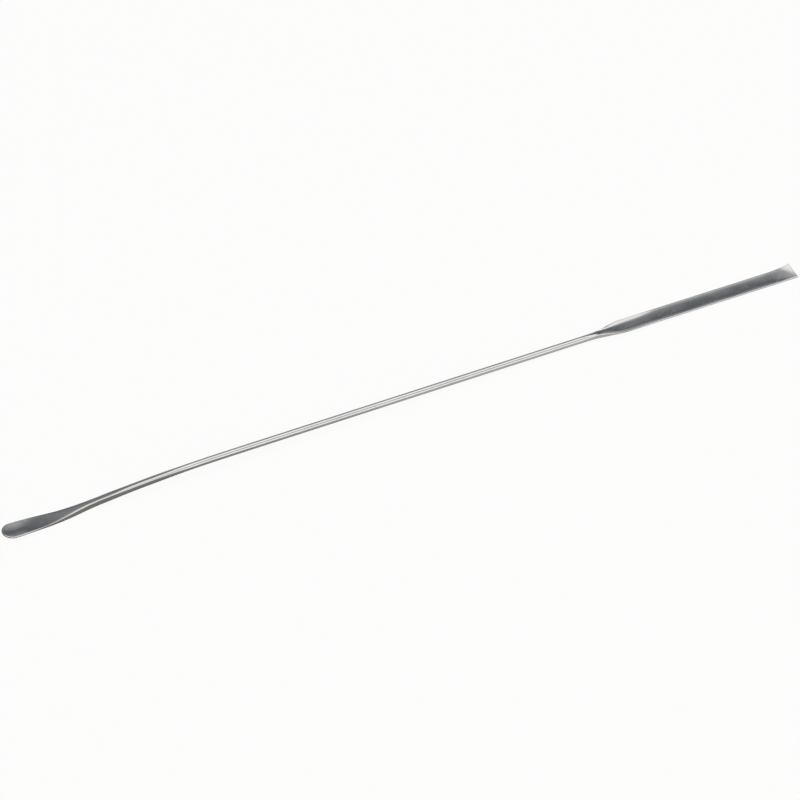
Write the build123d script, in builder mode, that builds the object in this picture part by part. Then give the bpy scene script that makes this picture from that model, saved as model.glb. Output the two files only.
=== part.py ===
from build123d import *
import os
from math import atan2, cos, degrees, pi, radians, sin, tan

# A double-ended micro spatula, forged and pressed from one length of round wire.
# The spoon is at the -X end and the flat blade at the +X end. The tool lies on the
# underside of its bowl and on the end of its blade, with Z = 0 as the bench.
# All sizes are in millimetres and degrees.

# The wire, measured along its bent centre line from the spoon's tip to the blade's end
overall_length = 210.0
wire_diameter = 1.6

# The spoon, a shallow bowl with a round tip that narrows into the wire
spoon_width = 5.1
spoon_thickness = 0.45
spoon_depth = 0.45
spoon_taper_length = 22.5

# The blade, a shallow trough with a short shoulder, which runs out flat at its square end
blade_width = 4.6
blade_thickness = 0.42
blade_length = 47.0
blade_shoulder_length = 9.0
blade_depth = 0.34
blade_end_round = 0.12

# The bends: the wire bows down towards the spoon, and the spoon lifts again
spoon_flat_length = 10.5
lift_length = 9.0
lift_angle = 7.2
bow_length = 38.0
bow_angle = 6.5

# How finely the work is done: the sections drawn along each pressed end, the swell of a
# quarter of a round section at its ends, and the rounds in which the tool settles
last_station = 6
quarter_swell = 45
settling_rounds = 6

# Lengths and places that follow from the sizes above
wire_radius = wire_diameter / 2
tip_radius = spoon_width / 2
taper_end = tip_radius + spoon_taper_length
lift_end = spoon_flat_length + lift_length
bow_end = lift_end + bow_length
shoulder_end = overall_length - blade_length
shoulder_start = shoulder_end - blade_shoulder_length


def arc_controls(centre, edge_radius, swell, side, level):
    """Give the control points of a section's top arc (side 1) or bottom arc (side -1).

    The arc leaves the small arcs of the edges in line, at the swell angle, so it is
    swollen where the angle is positive, hollow where it is negative and flat at zero.
    The middle point is where the lines that leave its two ends meet.
    """
    half_span = centre + edge_radius * sin(radians(swell))
    height = level + side * edge_radius * cos(radians(swell))
    meeting = height + side * half_span * tan(radians(swell))
    return [(-half_span, height), (0, meeting), (half_span, height)]


# The centre line, drawn with the straight wire level and the blade's end at the right
lift_radius = lift_length / radians(lift_angle)
bow_radius = bow_length / radians(bow_angle)
with BuildLine(Plane.XZ) as spine:
    spoon_line = Line((0, 0), (spoon_flat_length, 0))
    lift_curve = JernArc(spoon_line @ 1, spoon_line % 1, lift_radius, lift_angle)
    bow_curve = JernArc(lift_curve @ 1, lift_curve % 1, bow_radius, -bow_angle)
    PolarLine(bow_curve @ 1, overall_length - bow_end, direction=bow_curve % 1)
centre_line = spine.wire()


def plane_across(distance):
    """Give the plane across the wire at a distance from the spoon's tip."""
    share = distance / overall_length
    return Plane(origin=centre_line @ share, x_dir=(0, 1, 0), z_dir=centre_line % share)


def eased(share):
    """Give a share from 0 to 1 that starts and ends gently, as pressed metal flows."""
    return (1 - cos(pi * share)) / 2


def between(start, end, share):
    """Give the value at an eased share of the way from start to end."""
    return start + (end - start) * eased(share)


def pressed_section(distance, width, thickness, depth, pressed):
    """Draw the section across the wire there, from round (pressed 0) to flat (pressed 1).

    The two sides are arcs of half the edge thickness, and the top and bottom leave
    them in line. Depth is how far the middle of the flat section lies below its edges,
    half of it below the centre line. A section that is still round swells above and
    below instead: at 45 degrees of crown and no depth the four edges are a circle.
    """
    section_width = between(wire_diameter, width, pressed)
    edge_radius = between(wire_diameter, thickness, pressed) / 2
    crown = quarter_swell * (1 - eased(pressed))
    hollow = depth * eased(pressed)
    dish = degrees(2 * atan2(2 * hollow, section_width))
    centre = section_width / 2 - edge_radius
    level = hollow / 2
    top_swell = crown - dish
    bottom_swell = crown + dish
    top = arc_controls(centre, edge_radius, top_swell, 1, level)
    bottom = arc_controls(centre, edge_radius, bottom_swell, -1, level)
    with BuildSketch(plane_across(distance)) as section:
        with BuildLine():
            Bezier(*top, weights=[1, cos(radians(top_swell)), 1])
            ThreePointArc(top[-1], (section_width / 2, level), bottom[-1])
            Bezier(*bottom, weights=[1, cos(radians(bottom_swell)), 1])
            ThreePointArc(bottom[0], (-section_width / 2, level), top[0])
        make_face()
    return section.sketch


def pressed_taper(start, end, width, thickness, depth):
    """Draw the sections that press the round wire flat, from its round end to its flat end."""
    return [
        pressed_section(
            start + (end - start) * station / last_station,
            width,
            thickness,
            depth,
            station / last_station,
        )
        for station in range(last_station + 1)
    ]


# The spoon, lofted from the round wire to the full width of the bowl, and then turned
# half round about the middle of the bowl for its round tip
spoon_sections = pressed_taper(taper_end, tip_radius, spoon_width, spoon_thickness, spoon_depth)
bowl_plane = plane_across(tip_radius)
half_bowl = split(spoon_sections[-1], bisect_by=Plane.XZ, keep=Keep.BOTTOM)
with BuildPart() as spoon:
    loft(spoon_sections)
    revolve(half_bowl, Axis(bowl_plane.origin, bowl_plane.y_dir), revolution_arc=180)

# The blade, with a shoulder lofted from the round wire and a trough that runs out at the
# end, where the flat section lets the blade lie on a straight edge and not on a point
blade_sections = pressed_taper(
    shoulder_start, shoulder_end, blade_width, blade_thickness, blade_depth
)
flat_end = pressed_section(overall_length, blade_width, blade_thickness, depth=0, pressed=1)
with BuildPart() as blade:
    loft(blade_sections)
    loft([blade_sections[-1], flat_end])
    fillet(blade.faces().sort_by(Axis.X)[-1].edges(), blade_end_round)

# The round wire, drawn along the bow and the straight stretch between the two ends
wire_path = centre_line.trim(taper_end / overall_length, shoulder_start / overall_length)
with BuildPart() as wire:
    with BuildSketch(plane_across(taper_end)):
        Circle(wire_radius)
    sweep(path=wire_path)

# The angle at which the tool lies, turned down until bowl and blade touch the same bench
lean = 0
for settling in range(settling_rounds):
    bowl_height = spoon.part.rotate(Axis.Y, lean).bounding_box().min.Z
    blade_height = blade.part.rotate(Axis.Y, lean).bounding_box().min.Z
    lean += degrees(atan2(blade_height - bowl_height, overall_length))

# The whole tool, one piece of wire, laid on the bench with the middle of its box at X = 0
with BuildPart() as tool:
    add([spoon.part, wire.part, blade.part])
lying = tool.part.rotate(Axis.Y, lean)
box = lying.bounding_box()
with BuildPart() as spatula:
    add(lying.translate((-box.center().X, -box.center().Y, -box.min.Z)))
spatula.part.label = "spatula"

os.makedirs("parts", exist_ok=True)
export_step(spatula.part, "parts/spatula.step")
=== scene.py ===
"""The looks of a double-ended micro spatula: its polished metal, its studio and its camera.

The tool is one length of round wire. Its spoon is at the -X end and its blade at the +X
end, and it lies on the bench at Z = 0. All lengths are in metres.
"""

import logging
import math
from dataclasses import dataclass, field, fields, replace
from enum import Enum

import bmesh
import bpy
import numpy as np
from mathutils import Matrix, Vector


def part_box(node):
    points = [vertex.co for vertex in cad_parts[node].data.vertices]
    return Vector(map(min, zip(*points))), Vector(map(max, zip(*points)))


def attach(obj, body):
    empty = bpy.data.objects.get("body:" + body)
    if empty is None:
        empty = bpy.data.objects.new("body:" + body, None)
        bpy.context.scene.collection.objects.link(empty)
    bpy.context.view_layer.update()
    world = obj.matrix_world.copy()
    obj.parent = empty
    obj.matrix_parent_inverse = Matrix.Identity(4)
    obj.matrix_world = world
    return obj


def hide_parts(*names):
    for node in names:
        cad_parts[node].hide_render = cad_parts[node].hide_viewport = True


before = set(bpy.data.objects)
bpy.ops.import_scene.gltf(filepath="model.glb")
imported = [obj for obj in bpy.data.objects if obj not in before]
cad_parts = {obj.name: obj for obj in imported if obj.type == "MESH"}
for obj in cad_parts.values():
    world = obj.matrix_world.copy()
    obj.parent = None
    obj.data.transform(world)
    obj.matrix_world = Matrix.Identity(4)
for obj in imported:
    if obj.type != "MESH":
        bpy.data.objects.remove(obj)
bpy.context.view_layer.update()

MM = 0.001
log = logging.getLogger("spatula")

# A size that all rings share or one for each ring, and a value or the socket that gives it
Size = float | np.ndarray
Value = float | bpy.types.NodeSocket

# The swell of a quarter of a round section at its ends
QUARTER_SWELL = math.radians(45)


def eased(share: np.ndarray) -> np.ndarray:
    """Ease a share from 0 to 1 by half a cosine wave, as pressed metal flows.

    Args:
        share: The plain share, which is first held between 0 and 1.

    Returns:
        (1 - cos(pi share)) / 2.
    """
    return (1 - np.cos(np.pi * np.clip(share, 0, 1))) / 2


def blended(start: Size, end: Size, share: np.ndarray) -> np.ndarray:
    """Give start + (end - start) share."""
    return start + (end - start) * share


@dataclass(frozen=True)
class BentWire:
    """The centre line of the tool, level along its straight wire.

    From the spoon's tip it runs straight, lifts by one angle, bows back by another and
    then runs straight to the end of the blade.
    """

    length: float = 210.0 * MM
    diameter: float = 1.6 * MM
    spoon_flat_length: float = 10.5 * MM
    lift_length: float = 9.0 * MM
    lift_angle: float = math.radians(7.2)
    bow_length: float = 38.0 * MM
    bow_angle: float = math.radians(6.5)
    step: float = 0.05 * MM

    def heading(self, distance: np.ndarray) -> np.ndarray:
        """Work out the slope: it grows evenly over the lift and falls over the bow.

        Args:
            distance: How far along the line each point lies.

        Returns:
            The slope's angle at each point.
        """
        lift_share = np.clip((distance - self.spoon_flat_length) / self.lift_length, 0, 1)
        lift_end = self.spoon_flat_length + self.lift_length
        bow_share = np.clip((distance - lift_end) / self.bow_length, 0, 1)
        return self.lift_angle * lift_share - self.bow_angle * bow_share

    def places(self, distance: np.ndarray) -> tuple[np.ndarray, np.ndarray]:
        """Find points of the line by adding up its steps.

        Each step adds its length times (cos, sin) of the slope in its middle.

        Args:
            distance: How far along the line each point lies.

        Returns:
            The points' X and Z.
        """
        marks = np.arange(0, self.length + self.step, self.step)
        middle = self.heading((marks[:-1] + marks[1:]) / 2)
        along = np.concatenate([[0], np.cumsum(np.cos(middle) * self.step)])
        height = np.concatenate([[0], np.cumsum(np.sin(middle) * self.step)])
        return np.interp(distance, marks, along), np.interp(distance, marks, height)


@dataclass(frozen=True)
class Sections:
    """The sizes of many sections across the wire, one row for each.

    Hollow is how far the middle of the underside lies below the edges, and crown is the
    swell that is left of a round quarter. The top has its own value of both.
    """

    width: np.ndarray
    edge_radius: np.ndarray
    hollow: np.ndarray
    top_hollow: np.ndarray
    crown: np.ndarray
    top_crown: np.ndarray
    edge_power: np.ndarray

    top_points: int = 41
    side_points: int = 17
    least_swell: float = 1e-6

    def arc(self, swell: np.ndarray, side: int) -> tuple[np.ndarray, np.ndarray]:
        """Work out the top arc (side 1) or the bottom arc (side -1) of each section.

        An arc spans half = centre + radius sin(swell) each way, and its ends stand at
        radius cos(swell) from the level of the edges. Between them, at a share a of the
        swell, it lies at half sin(a) / sin(swell) across and
        half (cos(a) - cos(swell)) / sin(swell) further out. A flat arc gets the least
        swell, so that nothing is divided by zero.

        Args:
            swell: The angle at which the arc leaves the edges, one for each section.
            side: Which arc.

        Returns:
            The arc's points across and up, with one row for each section.
        """
        steady = np.where(np.abs(swell) < self.least_swell, self.least_swell, swell)[:, None]
        centre = (self.width / 2 - self.edge_radius)[:, None]
        radius = self.edge_radius[:, None]
        half = centre + radius * np.sin(steady)
        turn = np.linspace(-1, 1, self.top_points)[None, :] * steady
        across = half * np.sin(turn) / np.sin(steady)
        bulge = half * (np.cos(turn) - np.cos(steady)) / np.sin(steady)
        up = self.hollow[:, None] / 2 + side * (radius * np.cos(steady) + bulge)
        return across, up

    def rings(self) -> tuple[np.ndarray, np.ndarray, np.ndarray, np.ndarray]:
        """Draw each section as one closed ring: top, right edge, bottom and left edge.

        The right edge turns from the end of the top arc to the end of the bottom arc
        about the edge's centre, and the left edge is its mirror image. How far an edge
        stands out, as a share between its ends and its middle, is raised to its power,
        so a power below 1 makes it upright with tighter corners.

        Returns:
            The rings' points across and up, 1 where a point is in the middle of an edge,
            and 1 where a point is on the top.
        """
        dish = 2 * np.arctan2(2 * self.hollow, self.width)
        top_dish = 2 * np.arctan2(2 * self.top_hollow, self.width)
        top_across, top_up = self.arc(self.top_crown - top_dish, 1)
        bottom_across, bottom_up = self.arc(self.crown + dish, -1)
        start = (np.pi / 2 - self.top_crown + top_dish)[:, None]
        end = (-np.pi / 2 + self.crown + dish)[:, None]
        turn = start + (end - start) * np.linspace(0, 1, self.side_points)[None, 1:-1]
        centre = (self.width / 2 - self.edge_radius)[:, None]
        least = np.where(turn > 0, np.cos(start), np.cos(end))
        share = np.clip((np.cos(turn) - least) / (1 - least), 0, 1) ** self.edge_power[:, None]
        edge_across = centre + self.edge_radius[:, None] * (least + (1 - least) * share)
        edge_up = self.hollow[:, None] / 2 + self.edge_radius[:, None] * np.sin(turn)
        across = np.hstack([top_across, edge_across, bottom_across[:, ::-1], -edge_across[:, ::-1]])
        up = np.hstack([top_up, edge_up, bottom_up[:, ::-1], edge_up[:, ::-1]])
        on_edge = np.zeros(across.shape[1])
        bump = np.sin(np.linspace(0, np.pi, self.side_points))[1:-1]
        on_edge[self.top_points:self.top_points + bump.size] = bump
        on_edge[-bump.size:] = bump
        on_top = np.zeros(across.shape[1])
        on_top[:self.top_points] = 1
        return across, up, on_edge, on_top


@dataclass(frozen=True)
class Stretch:
    """Rings of points along one stretch of the tool, one row for each ring.

    A point is given by its distance along the centre line from the spoon's tip, its place
    across the tool and its height above the centre line.
    """

    distance: np.ndarray
    across: np.ndarray
    up: np.ndarray
    pressed: np.ndarray
    edge: np.ndarray
    top: np.ndarray

    @classmethod
    def along(
        cls,
        distance: np.ndarray,
        pressed: np.ndarray,
        wire_diameter: float,
        width: Size,
        thickness: Size,
        depth: Size,
        top_depth: Size,
        top_lead: float = 1.0,
        edge_lead: float = 1.0,
        edge_power: float = 1.0,
    ) -> "Stretch":
        """Draw the rings that lie straight across the line.

        Width, thickness and depth go from those of the round wire to their own by the
        eased share of the pressing, and the crown of a round quarter shrinks by it.

        Args:
            distance: Where each ring lies along the line.
            pressed: How far each ring is pressed, from 0 for round to 1 for flat.
            wire_diameter: The diameter of the round wire.
            width: The full width that the pressing runs to.
            thickness: The thickness of the edges that it runs to.
            depth: How far the middle of the underside lies below its edges then.
            top_depth: How far the middle of the top does.
            top_lead: The power by which the top loses its crown ahead of the underside.
            edge_lead: The power by which the edges get thin ahead of the widening.
            edge_power: The power of the edges that it runs to.

        Returns:
            The stretch.
        """
        flow = eased(pressed)
        sections = Sections(
            width=blended(wire_diameter, width, flow),
            edge_radius=blended(thickness, wire_diameter, (1 - flow) ** edge_lead) / 2,
            hollow=depth * flow,
            top_hollow=top_depth * flow,
            crown=QUARTER_SWELL * (1 - flow),
            top_crown=QUARTER_SWELL * (1 - flow) ** top_lead,
            edge_power=blended(1.0, edge_power, flow),
        )
        across, up, on_edge, on_top = sections.rings()
        rows = np.ones_like(across)
        return cls(
            distance=distance[:, None] * rows,
            across=across,
            up=up,
            pressed=flow[:, None] * rows,
            edge=on_edge * rows,
            top=on_top * rows,
        )

    @classmethod
    def joined(cls, parts: list["Stretch"]) -> "Stretch":
        """Join stretches end to end into one."""
        return cls(*(
            np.vstack([getattr(part, item.name) for part in parts]) for item in fields(cls)
        ))


@dataclass(frozen=True)
class Spoon:
    """The shallow spoon at the start of the wire.

    The top's own hollow fades out over the bowl's share of the taper.
    """

    width: float = 5.1 * MM
    thickness: float = 0.45 * MM
    depth: float = 0.45 * MM
    top_depth: float = 0.10 * MM
    top_lead: float = 5.0
    edge_lead: float = 1.7
    bowl_share: float = 0.4
    pit_depth: float = 0.045 * MM
    pit_place: tuple[float, float] = (4.2 * MM, 0.0)
    pit_size: tuple[float, float] = (1.5 * MM, 1.0 * MM)
    taper_length: float = 22.5 * MM
    taper_rings: int = 110
    tip_rings: int = 30

    @property
    def tip_radius(self) -> float:
        """Give the radius of the round tip."""
        return self.width / 2

    @property
    def end(self) -> float:
        """Give where the spoon has become round wire."""
        return self.tip_radius + self.taper_length

    def stretch(self, line: BentWire) -> Stretch:
        """Draw the spoon's rings from its tip to the round wire.

        The round tip is the widest ring turned about the middle of the bowl: at a turn t
        a point that was w across stands at w cos(t) across and |w| sin(t) further out.

        Args:
            line: The centre line, for the diameter of its wire.

        Returns:
            The rings of the spoon.
        """
        share = np.linspace(0, 1, self.taper_rings)
        taper = Stretch.along(
            distance=self.tip_radius + self.taper_length * share,
            pressed=1 - share,
            wire_diameter=line.diameter,
            width=self.width,
            thickness=self.thickness,
            depth=self.depth,
            top_depth=self.top_depth * (1 - eased(share / self.bowl_share)),
            top_lead=self.top_lead,
            edge_lead=self.edge_lead,
        )
        turn = np.linspace(np.pi / 2, 0, self.tip_rings, endpoint=False)[:, None]
        widest = taper.across[:1]
        rows = np.ones_like(turn)
        tip = Stretch(
            distance=self.tip_radius - np.abs(widest) * np.sin(turn),
            across=widest * np.cos(turn),
            up=taper.up[:1] * rows,
            pressed=taper.pressed[:1] * rows,
            edge=taper.edge[:1] * rows,
            top=taper.top[:1] * rows,
        )
        return Stretch.joined([tip, taper])

    def pit(self, skin: Stretch) -> np.ndarray:
        """Press a small pit into the top of the bowl, near its tip.

        Its depth is exp(-(a^2 + b^2) / 2) of its full value, where a and b are the
        point's offsets along and across from the pit's middle, over the pit's sizes.

        Args:
            skin: The rings of the tool.

        Returns:
            How much lower each point lies.
        """
        along = (skin.distance - self.pit_place[0]) / self.pit_size[0]
        across = (skin.across - self.pit_place[1]) / self.pit_size[1]
        return skin.top * self.pit_depth * np.exp(-(along ** 2 + across ** 2) / 2)


@dataclass(frozen=True)
class Shank:
    """The round wire between the spoon and the blade."""

    ring_spacing: float = 0.6 * MM

    def stretch(self, line: BentWire, start: float, end: float) -> Stretch:
        """Draw the round rings between the two pressed ends, without the ends' own rings.

        Args:
            line: The centre line, for the diameter of its wire.
            start: Where the spoon has become round wire.
            end: Where the blade's shoulder begins.

        Returns:
            The rings of the wire.
        """
        count = int((end - start) / self.ring_spacing)
        distance = np.linspace(start, end, count)[1:-1]
        return Stretch.along(
            distance=distance,
            pressed=np.zeros_like(distance),
            wire_diameter=line.diameter,
            width=line.diameter,
            thickness=line.diameter,
            depth=0.0,
            top_depth=0.0,
        )


@dataclass(frozen=True)
class Reach:
    """A stretch of the line over which an effect eases in, stays and eases out."""

    start: float
    full_from: float
    full_to: float
    end: float

    def share(self, distance: np.ndarray) -> np.ndarray:
        """Give the effect's share, from 0 to 1, at each distance from the spoon's tip."""
        rise = eased((distance - self.start) / (self.full_from - self.start))
        return rise * (1 - eased((distance - self.full_to) / (self.end - self.full_to)))


@dataclass(frozen=True)
class Squaring:
    """What forging does next to a pressed end: a flatter top and more upright sides.

    A smaller power squares more. Without a reach, the sides stay as they are.
    """

    top: Reach
    top_power: float
    side: Reach | None = None
    side_power: float = 1.0
    slimming: float = 0.05

    def squared(self, skin: Stretch) -> Stretch:
        """Square the rings in reach.

        Each ring is seen as shares of its own half width and half height. A share s
        becomes |s| to a power below 1, with the sign of s, which turns a circle into a
        rounded box, and the box is slimmed so that the metal in it stays the same.

        Args:
            skin: The rings of the tool.

        Returns:
            The rings, squared.
        """
        tops = self.top.share(skin.distance)
        sides = self.side.share(skin.distance) if self.side else np.zeros_like(tops)
        half_width = np.abs(skin.across).max(axis=1, keepdims=True)
        high = skin.up.max(axis=1, keepdims=True)
        low = skin.up.min(axis=1, keepdims=True)
        half_height = (high - low) / 2
        across = skin.across / half_width
        up = (skin.up - (high + low) / 2) / half_height
        slim = 1 - self.slimming * np.maximum(sides, tops) * (1 - skin.pressed)
        boxed_across = np.sign(across) * np.abs(across) ** (1 - (1 - self.top_power) * tops)
        boxed_up = np.sign(up) * np.abs(up) ** (1 - (1 - self.side_power) * sides)
        return replace(
            skin,
            across=boxed_across * half_width * slim,
            up=(high + low) / 2 + boxed_up * half_height * slim,
        )


@dataclass(frozen=True)
class Blade:
    """The flat blade at the end of the wire, a trough that runs out at its square end."""

    width: float = 4.6 * MM
    thickness: float = 0.42 * MM
    length: float = 47.0 * MM
    shoulder_length: float = 9.0 * MM
    depth: float = 0.34 * MM
    top_depth: float = 0.045 * MM
    top_lead: float = 2.5
    edge_lead: float = 1.5
    wall_depth: float = 0.28 * MM
    wall_reach: Reach = Reach(151.5 * MM, 158.5 * MM, 162.5 * MM, 173.0 * MM)
    wall_power: float = 5.0
    rim_depth: float = 0.035 * MM
    edge_power: float = 0.6
    end_round: float = 0.12 * MM
    twist_angle: float = math.radians(4.0)
    twist_length: float = 6.5 * MM
    corner_fold_length: float = 3.2 * MM
    corner_curl_radius: float = 8.0 * MM
    flat_length: float = 8.0 * MM
    shoulder_rings: int = 60
    trough_rings: int = 130
    end_rings: int = 8

    def start(self, line: BentWire) -> float:
        """Give where the round wire begins to widen into the shoulder."""
        return line.length - self.length - self.shoulder_length

    def stretch(self, line: BentWire) -> Stretch:
        """Draw the blade's rings from the round wire to its end.

        Over the last end_round r the rings shrink as a quarter circle does: at an angle t
        a ring stands r sin(t) further along and r (1 - cos(t)) further in.

        Args:
            line: The centre line of the tool.

        Returns:
            The rings of the blade.
        """
        shoulder = np.linspace(0, 1, self.shoulder_rings, endpoint=False)
        trough = np.linspace(0, 1, self.trough_rings)
        turn = np.linspace(0, np.pi / 2, self.end_rings + 1)[1:]
        trough_start = line.length - self.length
        trough_length = self.length - self.end_round
        inset = np.concatenate([
            np.zeros_like(shoulder), np.zeros_like(trough), self.end_round * (1 - np.cos(turn))
        ])
        distance = np.concatenate([
            self.start(line) + self.shoulder_length * shoulder,
            trough_start + trough_length * trough,
            line.length - self.end_round + self.end_round * np.sin(turn),
        ])
        run_out = np.clip((line.length - distance) / self.length, 0, 1)
        return Stretch.along(
            distance=distance,
            pressed=np.concatenate([shoulder, np.ones_like(trough), np.ones_like(turn)]),
            wire_diameter=line.diameter,
            width=self.width - 2 * inset,
            thickness=self.thickness - 2 * inset,
            depth=self.depth * run_out,
            top_depth=self.top_depth * self.hollowed(line.length - distance),
            top_lead=self.top_lead,
            edge_lead=self.edge_lead,
            edge_power=self.edge_power,
        )

    def hollowed(self, before_end: np.ndarray) -> np.ndarray:
        """Give how much of its hollow the top has: it runs out over the flat length."""
        return eased(before_end / self.flat_length)

    def steep_walls(self, skin: Stretch, before_end: np.ndarray) -> np.ndarray:
        """Press the top deeper at the shoulder, with walls that steepen to the edges.

        The extra depth is a share 1 - |s| to a power of its value in the middle, where s
        runs from -1 to 1 across the top. Past the shoulder a trace of it stays, which
        leaves a slight rim along the blade.

        Args:
            skin: The rings of the tool.
            before_end: How far before the blade's end each point lies.

        Returns:
            How much lower each point lies.
        """
        half_top = np.abs(skin.across[:, :1])
        side = np.clip(np.abs(skin.across) / half_top, 0, 1)
        past = eased((skin.distance - self.wall_reach.start) / self.shoulder_length)
        past = past * self.hollowed(before_end)
        depth = self.wall_depth * self.wall_reach.share(skin.distance) + self.rim_depth * past
        return skin.top * depth * (1 - side ** self.wall_power)

    def bent_end(self, before_end: np.ndarray, across: np.ndarray) -> np.ndarray:
        """Twist the blade's end up a little and curl its far corner, as worn ends are.

        The twist turns about the near edge and eases in over its length. The curl's fold
        runs from the near corner of the end to a point of the far edge, and a point that
        lies q beyond it is lifted by q squared over twice the radius of the curl.

        Args:
            before_end: How far before the blade's end each point lies.
            across: Where it lies across the blade.

        Returns:
            How far each point is lifted.
        """
        half = self.width / 2
        fold = math.hypot(self.corner_fold_length, self.width)
        beyond = (self.corner_fold_length * (across + half) - self.width * before_end) / fold
        curl = np.maximum(beyond, 0) ** 2 / (2 * self.corner_curl_radius)
        twist = self.twist_angle * eased(1 - before_end / self.twist_length)
        return curl + (across + half) * np.tan(twist)


class Waves:
    """A gentle, seeded unevenness, made of a few sine waves.

    None of them turns further from the tool's length than the widest turn, in radians.
    """

    widest_turn = 1.3

    def __init__(self, seed: int, count: int, shortest: float, longest: float) -> None:
        """Choose the waves.

        Args:
            seed: The seed of their lengths, turns and starts.
            count: How many waves there are.
            shortest: The shortest wavelength.
            longest: The longest wavelength.
        """
        draw = np.random.default_rng(seed)
        self.numbers = 2 * np.pi / draw.uniform(shortest, longest, count)
        self.turns = draw.uniform(-self.widest_turn, self.widest_turn, count)
        self.starts = draw.uniform(0, 2 * np.pi, count)

    def height(self, along: np.ndarray, across: np.ndarray) -> np.ndarray:
        """Work out the mean of the waves sin(k (along cos t + across sin t) + start).

        Args:
            along: How far along the tool each point lies.
            across: Where it lies across the tool.

        Returns:
            The waves' height at each point, from -1 to 1.
        """
        total = np.zeros_like(along)
        for number, turn, start in zip(self.numbers, self.turns, self.starts):
            total += np.sin(number * (along * np.cos(turn) + across * np.sin(turn)) + start)
        return total / len(self.numbers)


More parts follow.
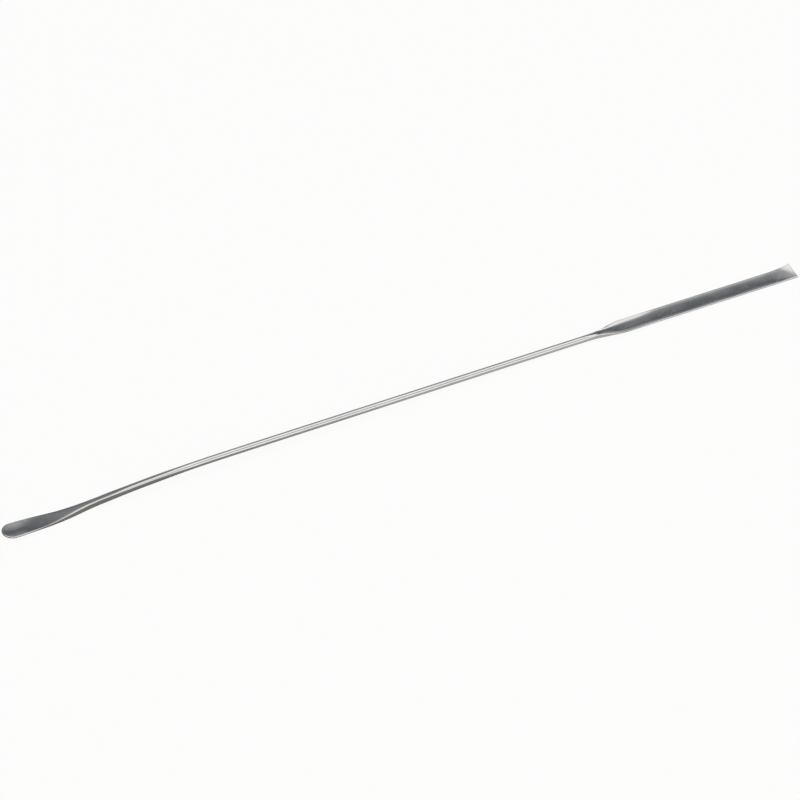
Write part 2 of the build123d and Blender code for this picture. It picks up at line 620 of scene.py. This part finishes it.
@dataclass
class MicroSpatula:
    """The whole tool as one closed skin, laid on the bench."""

    name: str = "polished_spatula"
    line: BentWire = field(default_factory=BentWire)
    spoon: Spoon = field(default_factory=Spoon)
    shank: Shank = field(default_factory=Shank)
    blade: Blade = field(default_factory=Blade)
    neck: Squaring = Squaring(
        top=Reach(4.0 * MM, 10.0 * MM, 26.0 * MM, 35.0 * MM),
        top_power=0.32,
        side=Reach(9.0 * MM, 18.0 * MM, 38.0 * MM, 50.0 * MM),
        side_power=0.34,
    )
    shoulder: Squaring = Squaring(
        top=Reach(149.5 * MM, 158.0 * MM, 162.0 * MM, 170.0 * MM), top_power=0.42
    )
    press_waves: Waves = field(
        default_factory=lambda: Waves(seed=5, count=9, shortest=4.0 * MM, longest=12.0 * MM)
    )
    press_wave_height: float = 0.03 * MM
    settling_rounds: int = 8
    merge_distance: float = 0.0001 * MM

    def skin(self) -> Stretch:
        """Join the three stretches, and add what forging and use have left on them.

        Returns:
            The rings of the whole tool.
        """
        parts = [
            self.spoon.stretch(self.line),
            self.shank.stretch(self.line, self.spoon.end, self.blade.start(self.line)),
            self.blade.stretch(self.line),
        ]
        whole = Stretch.joined(parts)
        for squaring in (self.neck, self.shoulder):
            whole = squaring.squared(whole)
        wave = self.press_wave_height * self.press_waves.height(whole.distance, whole.across)
        before_end = self.line.length - whole.distance
        lift = self.blade.bent_end(before_end, whole.across)
        dip = self.blade.steep_walls(whole, before_end) + self.spoon.pit(whole)
        return replace(whole, up=whole.up + wave * whole.pressed + lift - dip)

    def lie_down(self, points: np.ndarray, distance: np.ndarray) -> np.ndarray:
        """Turn the tool about Y until spoon and blade touch the bench, and put it in place.

        Each round turns it by the arc tangent of how much the blade stands higher than
        the spoon, over the length of the tool. Its box then gets the middle of the CAD
        box in X and its lowest point in Z.

        Args:
            points: The points, one row for each.
            distance: How far along the centre line each one lies.

        Returns:
            The points in the shared frame.
        """
        in_spoon = distance < self.spoon.end
        in_blade = distance > self.blade.start(self.line)
        for _ in range(self.settling_rounds):
            gap = points[in_blade, 2].min() - points[in_spoon, 2].min()
            lean = math.atan2(gap, self.line.length)
            turn = np.array([
                [math.cos(lean), 0, -math.sin(lean)], [0, 1, 0], [math.sin(lean), 0, math.cos(lean)]
            ])
            points = points @ turn
        low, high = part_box("spatula")
        points[:, 0] += (low.x + high.x) / 2 - (points[:, 0].min() + points[:, 0].max()) / 2
        points[:, 2] += low.z - points[:, 2].min()
        return points

    def build(self) -> bpy.types.Object:
        """Build the tool's mesh, with its UV map and the attributes that its metal reads.

        A point at a height h over the line stands h from it along the line's normal,
        (-sin(slope), cos(slope)). Each ring is joined to the next by quads, the end of
        the blade is one face, and the halves of the spoon's tip are merged.

        Returns:
            The new object.
        """
        skin = self.skin()
        along, height = self.line.places(skin.distance)
        slope = self.line.heading(skin.distance)
        points = np.stack([
            along - skin.up * np.sin(slope), skin.across, height + skin.up * np.cos(slope)
        ], axis=-1)
        points = self.lie_down(points.reshape(-1, 3), skin.distance.ravel())
        rings, around = skin.across.shape
        numbers = np.arange(rings * around).reshape(rings, around)
        following = np.roll(numbers, -1, axis=1)
        quads = np.stack([numbers[:-1], following[:-1], following[1:], numbers[1:]], axis=-1)
        faces = quads.reshape(-1, 4).tolist() + [numbers[-1].tolist()]
        mesh = bpy.data.meshes.new(self.name)
        mesh.from_pydata(points, [], faces)
        self.unwrap(mesh, skin)
        for name in ("pressed", "edge"):
            layer = mesh.attributes.new(name, "FLOAT", "POINT")
            layer.data.foreach_set("value", getattr(skin, name).ravel().astype(np.float32))
        self.close(mesh)
        spatula = bpy.data.objects.new(self.name, mesh)
        bpy.context.scene.collection.objects.link(spatula)
        return spatula

    def unwrap(self, mesh: bpy.types.Mesh, skin: Stretch) -> None:
        """Lay out the UV map: U along the line, V around each ring, both in millimetres.

        Args:
            mesh: The mesh, with its quads first and the blade's end last.
            skin: The rings that it was made from.
        """
        closed_across = np.hstack([skin.across, skin.across[:, :1]])
        closed_up = np.hstack([skin.up, skin.up[:, :1]])
        steps = np.hypot(np.diff(closed_across, axis=1), np.diff(closed_up, axis=1))
        around = np.hstack([np.zeros((len(steps), 1)), np.cumsum(steps, axis=1)]) / MM
        along = np.hstack([skin.distance, skin.distance[:, :1]]) / MM
        chart = np.stack([along, around], axis=-1)
        quads = np.stack([
            chart[:-1, :-1], chart[:-1, 1:], chart[1:, 1:], chart[1:, :-1]
        ], axis=2).reshape(-1, 2)
        end_face = np.stack([skin.across[-1], skin.up[-1]], axis=-1) / MM
        layer = mesh.uv_layers.new(name="chart")
        layer.data.foreach_set("uv", np.vstack([quads, end_face]).astype(np.float32).ravel())

    def close(self, mesh: bpy.types.Mesh) -> None:
        """Merge the points that fall together, point the faces outwards and smooth them.

        Args:
            mesh: The mesh to close.
        """
        work = bmesh.new()
        work.from_mesh(mesh)
        bmesh.ops.remove_doubles(work, verts=work.verts, dist=self.merge_distance)
        bmesh.ops.recalc_face_normals(work, faces=work.faces)
        work.to_mesh(mesh)
        work.free()
        mesh.polygons.foreach_set("use_smooth", np.ones(len(mesh.polygons), dtype=bool))
        mesh.update()


class NodeSheet:
    """A node tree that is written one node at a time."""

    def __init__(self, tree: bpy.types.NodeTree) -> None:
        """Empty the tree."""
        self.tree = tree
        tree.nodes.clear()

    def add(self, kind: str, inputs: dict | None = None, **settings: object) -> bpy.types.Node:
        """Add a node.

        Args:
            kind: Its type, without the prefix ShaderNode.
            inputs: A value, or the socket to link from, for each input by name or number.
            settings: The node's own settings.

        Returns:
            The node.
        """
        prefix = "" if kind.startswith("Node") else "ShaderNode"
        node = self.tree.nodes.new(prefix + kind)
        for name, value in settings.items():
            setattr(node, name, value)
        for name, value in (inputs or {}).items():
            if isinstance(value, bpy.types.NodeSocket):
                self.tree.links.new(value, node.inputs[name])
            else:
                node.inputs[name].default_value = value
        return node

    def math(self, operation: str, *values: Value) -> bpy.types.NodeSocket:
        """Add a Math node and give its result."""
        return self.add("Math", dict(enumerate(values)), operation=operation).outputs[0]

    def mapped(
        self,
        value: bpy.types.NodeSocket,
        given: tuple[Value, Value] = (0.0, 1.0),
        wanted: tuple[Value, Value] = (0.0, 1.0),
    ) -> bpy.types.NodeSocket:
        """Map a value from one range onto another, and hold it within that.

        Args:
            value: The value.
            given: The range that it comes in.
            wanted: The range that it gets.

        Returns:
            The new value.
        """
        limits = {"From Min": given[0], "From Max": given[1], "To Min": wanted[0], "To Max": wanted[1]}
        return self.add("MapRange", {"Value": value, **limits}).outputs["Result"]

    def mixed_values(self, share: Value, first: Value, second: Value) -> bpy.types.NodeSocket:
        """Mix two values, which the Mix node takes at its sockets 2 and 3."""
        return self.add("Mix", {0: share, 2: first, 3: second}, data_type="FLOAT").outputs[0]

    def mixed_colours(self, share: Value, first: tuple, second: tuple) -> bpy.types.NodeSocket:
        """Mix two colours, which the Mix node takes at its sockets 6 and 7."""
        return self.add("Mix", {0: share, 6: first, 7: second}, data_type="RGBA").outputs[2]


class GroupKind(Enum):
    """The effects that the finishes share."""

    LINES = "fine_lines"
    CLOUDS = "clouds"
    SCRATCHES = "crossing_scratches"


# How the shared effects are drawn: the detail of the noises, the part of a noise that is
# spread over 0 to 1, how a cell is squeezed across to make it long, and how coarse the
# noise is that keeps scratches in patches
LINE_DETAIL = 3.0
CLOUD_DETAIL = 4.0
CLOUD_RANGE = (0.3, 0.7)
CELL_SQUEEZE = (0.16, 1.0, 1.0)
PATCH_SCALE = 0.35
PATCH_RANGE = (0.5, 0.62)


def new_group(
    kind: GroupKind, inputs: dict[str, tuple[str, object]], outputs: dict[str, str]
) -> tuple[bpy.types.NodeTree, NodeSheet, bpy.types.Node]:
    """Start a node group with named inputs and outputs.

    Args:
        kind: Which effect it is.
        inputs: The type and the usual value of each input.
        outputs: The type of each output.

    Returns:
        The group, the sheet to draw it on, and its input node.
    """
    tree = bpy.data.node_groups.new(kind.value, "ShaderNodeTree")
    for name, (socket_type, value) in inputs.items():
        socket = tree.interface.new_socket(name, in_out="INPUT", socket_type=socket_type)
        if value is not None:
            socket.default_value = value
    for name, socket_type in outputs.items():
        tree.interface.new_socket(name, in_out="OUTPUT", socket_type=socket_type)
    sheet = NodeSheet(tree)
    return tree, sheet, sheet.add("NodeGroupInput")


def fine_lines_group() -> bpy.types.NodeTree:
    """Draw lines that run along U: a noise stretched along the line and squeezed across.

    Returns:
        The group.
    """
    tree, sheet, given = new_group(
        GroupKind.LINES,
        {"Chart": ("NodeSocketVector", None), "Length": ("NodeSocketFloat", 12.0),
         "Width": ("NodeSocketFloat", 0.08), "Seed": ("NodeSocketFloat", 0.0)},
        {"Height": "NodeSocketFloat"},
    )
    parts = sheet.add("SeparateXYZ", {0: given.outputs["Chart"]})
    along = sheet.math("DIVIDE", parts.outputs["X"], given.outputs["Length"])
    across = sheet.math("DIVIDE", parts.outputs["Y"], given.outputs["Width"])
    point = sheet.add("CombineXYZ", {"X": along, "Y": across, "Z": given.outputs["Seed"]})
    noise = sheet.add("TexNoise", {"Vector": point.outputs[0], "Scale": 1.0, "Detail": LINE_DETAIL})
    sheet.add("NodeGroupOutput", {"Height": noise.outputs["Fac"]})
    return tree


def clouds_group() -> bpy.types.NodeTree:
    """Draw soft clouds: a noise whose middle range is spread over 0 to 1.

    Returns:
        The group.
    """
    tree, sheet, given = new_group(
        GroupKind.CLOUDS,
        {"Point": ("NodeSocketVector", None), "Size": ("NodeSocketFloat", 6.0 * MM)},
        {"Mask": "NodeSocketFloat"},
    )
    scale = sheet.math("DIVIDE", 1.0, given.outputs["Size"])
    noise = sheet.add(
        "TexNoise", {"Vector": given.outputs["Point"], "Scale": scale, "Detail": CLOUD_DETAIL}
    )
    sheet.add("NodeGroupOutput", {"Mask": sheet.mapped(noise.outputs["Fac"], CLOUD_RANGE)})
    return tree


def scratches_group() -> bpy.types.NodeTree:
    """Draw thin scratches: the edges of long cells, kept where a coarse noise is high.

    Returns:
        The group.
    """
    tree, sheet, given = new_group(
        GroupKind.SCRATCHES,
        {"Chart": ("NodeSocketVector", None), "Turn": ("NodeSocketFloat", 0.5),
         "Spacing": ("NodeSocketFloat", 1.2), "Thinness": ("NodeSocketFloat", 0.03)},
        {"Mask": "NodeSocketFloat"},
    )
    turned = sheet.add(
        "VectorRotate", {"Vector": given.outputs["Chart"], "Angle": given.outputs["Turn"]},
        rotation_type="Z_AXIS",
    )
    stretched = sheet.add(
        "VectorMath", {0: turned.outputs[0], 1: CELL_SQUEEZE}, operation="MULTIPLY"
    )
    scale = sheet.math("DIVIDE", 1.0, given.outputs["Spacing"])
    cells = sheet.add(
        "TexVoronoi", {"Vector": stretched.outputs[0], "Scale": scale}, feature="DISTANCE_TO_EDGE"
    )
    line = sheet.mapped(cells.outputs["Distance"], (0.0, given.outputs["Thinness"]), (1.0, 0.0))
    patches = sheet.add("TexNoise", {"Vector": given.outputs["Chart"], "Scale": PATCH_SCALE})
    kept = sheet.mapped(patches.outputs["Fac"], PATCH_RANGE)
    sheet.add("NodeGroupOutput", {"Mask": sheet.math("MULTIPLY", line, kept)})
    return tree


@dataclass(frozen=True)
class PolishedSteel:
    """Bright stainless steel: drawn lines on the wire, and buffed marks where it is pressed.

    Lines and scratches are measured on the UV map, which is in millimetres.
    """

    name: str = "polished_steel"
    bright: tuple[float, float, float, float] = (0.74, 0.735, 0.725, 1.0)
    dull: tuple[float, float, float, float] = (0.66, 0.655, 0.65, 1.0)
    smoothest: float = 0.12
    roughest: float = 0.20
    drawn_length: float = 9.0
    drawn_width: float = 0.11
    buffed_length: float = 2.5
    buffed_width: float = 0.05
    buffed_seed: float = 7.0
    line_depth: float = 0.0006 * MM
    line_share: float = 0.35
    haze_size: float = 7.0 * MM
    spot_size: float = 1.6 * MM
    edge_wear: float = 0.08
    scratch_turns: tuple[float, float] = (0.45, -0.8)
    scratch_spacings: tuple[float, float] = (1.2, 2.1)
    scratch_depth: float = 0.0010 * MM
    scratch_wear: float = 0.10

    def build(self, groups: dict[GroupKind, bpy.types.NodeTree]) -> bpy.types.Material:
        """Build the material.

        Lines and haze set the roughness between its two limits, and worn edges and
        scratches add to it.

        Args:
            groups: The shared effects.

        Returns:
            The material.
        """
        material = bpy.data.materials.new(self.name)
        material.use_nodes = True
        sheet = NodeSheet(material.node_tree)
        point = sheet.add("TexCoord").outputs["Object"]
        chart = sheet.add("UVMap", uv_map="chart").outputs["UV"]
        pressed = sheet.add("Attribute", attribute_name="pressed").outputs["Fac"]
        edge = sheet.add("Attribute", attribute_name="edge").outputs["Fac"]

        def effect(kind: GroupKind, output: str, inputs: dict) -> bpy.types.NodeSocket:
            """Place a shared effect with its own values, and give one of its outputs."""
            return sheet.add("Group", inputs, node_tree=groups[kind]).outputs[output]

        drawn = effect(
            GroupKind.LINES, "Height",
            {"Chart": chart, "Length": self.drawn_length, "Width": self.drawn_width},
        )
        buffed = effect(
            GroupKind.LINES, "Height",
            {"Chart": chart, "Length": self.buffed_length, "Width": self.buffed_width,
             "Seed": self.buffed_seed},
        )
        lines = sheet.mixed_values(pressed, drawn, buffed)
        haze = effect(GroupKind.CLOUDS, "Mask", {"Point": point, "Size": self.haze_size})
        spots = effect(GroupKind.CLOUDS, "Mask", {"Point": point, "Size": self.spot_size})
        first, second = (
            effect(GroupKind.SCRATCHES, "Mask", {"Chart": chart, "Turn": turn, "Spacing": spacing})
            for turn, spacing in zip(self.scratch_turns, self.scratch_spacings)
        )
        scratches = sheet.math("MULTIPLY", sheet.math("MAXIMUM", first, second), pressed)
        worn = sheet.math("MULTIPLY", edge, spots)
        hazy = sheet.math("MULTIPLY", haze, 1 - self.line_share)
        cloudy = sheet.math("MULTIPLY_ADD", lines, self.line_share, hazy)
        rough = sheet.mapped(cloudy, wanted=(self.smoothest, self.roughest))
        rough = sheet.math("MULTIPLY_ADD", worn, self.edge_wear, rough)
        rough = sheet.math("MULTIPLY_ADD", scratches, self.scratch_wear, rough)
        colour = sheet.mixed_colours(haze, self.bright, self.dull)
        cut = sheet.math("MULTIPLY", scratches, -self.scratch_depth)
        relief = sheet.math("MULTIPLY_ADD", lines, self.line_depth, cut)
        bump = sheet.add("Bump", {"Height": relief, "Distance": 1.0, "Strength": 1.0})
        shader = sheet.add(
            "BsdfPrincipled",
            {"Metallic": 1.0, "Base Color": colour, "Roughness": rough, "Normal": bump.outputs[0]},
        )
        sheet.add("OutputMaterial", {"Surface": shader.outputs[0]})
        return material


@dataclass(frozen=True)
class SoftBox:
    """A flat lamp of even brightness, which faces down until it is turned."""

    name: str
    place: tuple[float, float, float]
    size: tuple[float, float]
    radiance: float
    colour: tuple[float, float, float]
    turn: tuple[float, float, float] = (0.0, 0.0, 0.0)

    def build(self) -> None:
        """Hang the lamp. Its power is radiance times pi times its area."""
        lamp = bpy.data.lights.new(self.name, "AREA")
        lamp.shape = "RECTANGLE"
        lamp.size, lamp.size_y = self.size
        lamp.color = self.colour
        lamp.energy = self.radiance * math.pi * self.size[0] * self.size[1]
        holder = bpy.data.objects.new(self.name, lamp)
        holder.location = self.place
        holder.rotation_euler = self.turn
        bpy.context.scene.collection.objects.link(holder)


@dataclass(frozen=True)
class Camera:
    """The camera, at the viewing angle of the photograph."""

    turn: float = math.radians(-27.1)
    height_angle: float = math.radians(41.0)
    distance: float = 1.2
    focal_pixels: float = 5080.0
    image_pixels: float = 800.0
    sensor: float = 36.0
    anchor: tuple[float, float, float] = (0.0, 0.0, 1.5 * MM)
    anchor_pixel: tuple[float, float] = (409.85, 396.27)
    nearest: float = 0.01
    farthest: float = 50.0

    def build(self) -> None:
        """Set up the camera so that the anchor lands on its pixel.

        The point that the camera looks at is the anchor, less the anchor's offset from
        the middle of the image times the distance over the focal length in pixels.
        """
        back = np.array([
            math.sin(self.turn) * math.cos(self.height_angle),
            -math.cos(self.turn) * math.cos(self.height_angle),
            math.sin(self.height_angle),
        ])
        right = np.array([math.cos(self.turn), math.sin(self.turn), 0.0])
        up = np.cross(back, right)
        pixel = self.distance / self.focal_pixels
        middle = self.image_pixels / 2
        target = (
            np.array(self.anchor)
            - right * (self.anchor_pixel[0] - middle) * pixel
            - up * (middle - self.anchor_pixel[1]) * pixel
        )
        camera = bpy.data.cameras.new("camera")
        camera.sensor_width = self.sensor
        camera.lens = self.focal_pixels * self.sensor / self.image_pixels
        camera.clip_start = self.nearest
        camera.clip_end = self.farthest
        holder = bpy.data.objects.new("camera", camera)
        holder.location = target + back * self.distance
        holder.rotation_euler = (math.pi / 2 - self.height_angle, 0.0, self.turn)
        bpy.context.scene.collection.objects.link(holder)
        bpy.context.scene.camera = holder


@dataclass(frozen=True)
class Studio:
    """A plain pale floor under soft lamps, with a dim room behind.

    The camera sees the floor mixed with white. Mirror rays see it with a share of white
    that grows along X, from none at painted_falloff_start to the full mirror share at
    painted_falloff_end: a painted falloff of light, so the metal mirrors a darker floor
    towards the spoon's side.
    """

    floor_half: float = 6.0
    floor_colour: tuple[float, float, float, float] = (0.34, 0.318, 0.293, 1.0)
    floor_white: float = 1.17
    floor_white_share: float = 0.80
    floor_mirror_share: float = 0.31
    # Painted falloff of light: along X the floor in mirrors goes from dark to its full white share
    painted_falloff_start: float = -66.0 * MM
    painted_falloff_end: float = 12.0 * MM
    room_colour: tuple[float, float, float, float] = (0.76, 0.865, 1.0, 1.0)
    room_light: float = 0.12
    warm_light: tuple[float, float, float] = (1.0, 0.985, 0.965)
    lamp_height: float = 1.0
    lamp_width: float = 2.4
    lamps: tuple[SoftBox, ...] = (
        SoftBox(
            name="overhead_lamp",
            place=(0.0, -0.06, lamp_height),
            size=(lamp_width, 0.76),
            radiance=1.05,
            colour=warm_light,
        ),
        SoftBox(
            name="middle_lamp",
            place=(0.0, -0.7, lamp_height),
            size=(lamp_width, 0.5),
            radiance=0.22,
            colour=warm_light,
        ),
        SoftBox(
            name="front_lamp",
            place=(0.0, -1.3, 0.68),
            size=(lamp_width, 1.32),
            radiance=1.05,
            colour=warm_light,
            turn=(math.radians(90), 0.0, 0.0),
        ),
        SoftBox(
            name="back_lamp",
            place=(0.0, 2.0, 0.75),
            size=(4.0, 1.4),
            radiance=0.25,
            colour=warm_light,
            turn=(math.radians(-90), 0.0, 0.0),
        ),
    )
    fade_start: float = 0.32
    fade_width: float = 0.1
    fade_light: tuple[float, ...] = (1.02, 0.97, 0.86, 0.64, 0.38, 0.21, 0.12)

    def build(self) -> None:
        """Lay the floor, fill the room and hang the lamps."""
        self.build_floor()
        self.build_room()
        for lamp in self.lamps + self.fading_lamps():
            lamp.build()

    def fading_lamps(self) -> tuple[SoftBox, ...]:
        """Work out the strips by which the overhead light fades towards the back.

        Returns:
            The strips, side by side from the back edge of the overhead lamp.
        """
        return tuple(
            SoftBox(
                name=f"fading_lamp_{number}",
                place=(0.0, self.fade_start + self.fade_width * (number + 0.5), self.lamp_height),
                size=(self.lamp_width, self.fade_width),
                radiance=radiance,
                colour=self.warm_light,
            )
            for number, radiance in enumerate(self.fade_light)
        )

    def seen(self, sheet: NodeSheet, camera_share: float, mirror_share: Value) -> bpy.types.NodeSocket:
        """Work out how much of the white backdrop a ray sees.

        Args:
            sheet: The node tree that asks.
            camera_share: How much of it the camera sees.
            mirror_share: How much of it glossy and transmission rays see.

        Returns:
            The larger share of the two that hold for the ray, or 0 for any other ray.
        """
        path = sheet.add("LightPath").outputs
        mirrored = sheet.math("MAXIMUM", path["Is Glossy Ray"], path["Is Transmission Ray"])
        direct = sheet.math("MULTIPLY", path["Is Camera Ray"], camera_share)
        return sheet.math("MAXIMUM", direct, sheet.math("MULTIPLY", mirrored, mirror_share))

    def build_floor(self) -> None:
        """Lay a flat floor that looks white and keeps the tool's soft shadow, and whose white share in
        mirrors grows along X as a painted falloff of light.
        """
        half = self.floor_half
        mesh = bpy.data.meshes.new("floor")
        corners = [(-half, -half, 0.0), (half, -half, 0.0), (half, half, 0.0), (-half, half, 0.0)]
        mesh.from_pydata(corners, [], [(0, 1, 2, 3)])
        floor = bpy.data.objects.new("floor", mesh)
        bpy.context.scene.collection.objects.link(floor)
        material = bpy.data.materials.new("floor")
        material.use_nodes = True
        sheet = NodeSheet(material.node_tree)
        cloth = sheet.add("BsdfDiffuse", {"Color": self.floor_colour})
        white = sheet.add("Emission", {"Strength": self.floor_white})
        place = sheet.add("SeparateXYZ", {0: sheet.add("TexCoord").outputs["Object"]}).outputs["X"]
        # Painted falloff of light: the white share in mirrors grows along X, darker towards the
        # spoon's side
        painted_falloff_in_mirrors = sheet.mapped(
            place, (self.painted_falloff_start, self.painted_falloff_end), (0.0, self.floor_mirror_share)
        )
        share = self.seen(sheet, self.floor_white_share, painted_falloff_in_mirrors)
        mixed = sheet.add("MixShader", {0: share, 1: cloth.outputs[0], 2: white.outputs[0]})
        sheet.add("OutputMaterial", {"Surface": mixed.outputs[0]})
        mesh.materials.append(material)

    def build_room(self) -> None:
        """Make the room dim for the metal and white behind the floor for the camera."""
        world = bpy.data.worlds.new("room")
        world.use_nodes = True
        bpy.context.scene.world = world
        sheet = NodeSheet(world.node_tree)
        dim = sheet.add("Background", {"Color": self.room_colour, "Strength": self.room_light})
        white = sheet.add("Background", {"Strength": 1.0})
        share = self.seen(sheet, camera_share=1.0, mirror_share=0.0)
        mixed = sheet.add("MixShader", {0: share, 1: dim.outputs[0], 2: white.outputs[0]})
        sheet.add("OutputWorld", {"Surface": mixed.outputs[0]})


def main() -> None:
    """Build the studio and the tool, and dress the tool in its metal."""
    bpy.context.scene.view_settings.view_transform = "Standard"
    Camera().build()
    Studio().build()
    groups = {
        GroupKind.LINES: fine_lines_group(),
        GroupKind.CLOUDS: clouds_group(),
        GroupKind.SCRATCHES: scratches_group(),
    }
    spatula = MicroSpatula().build()
    spatula.data.materials.append(PolishedSteel().build(groups))
    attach(spatula, "root")
    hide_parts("spatula")
    log.info("%s: %d faces", spatula.name, len(spatula.data.polygons))


if __name__ == "__main__":
    logging.basicConfig(level=logging.INFO)
    main()
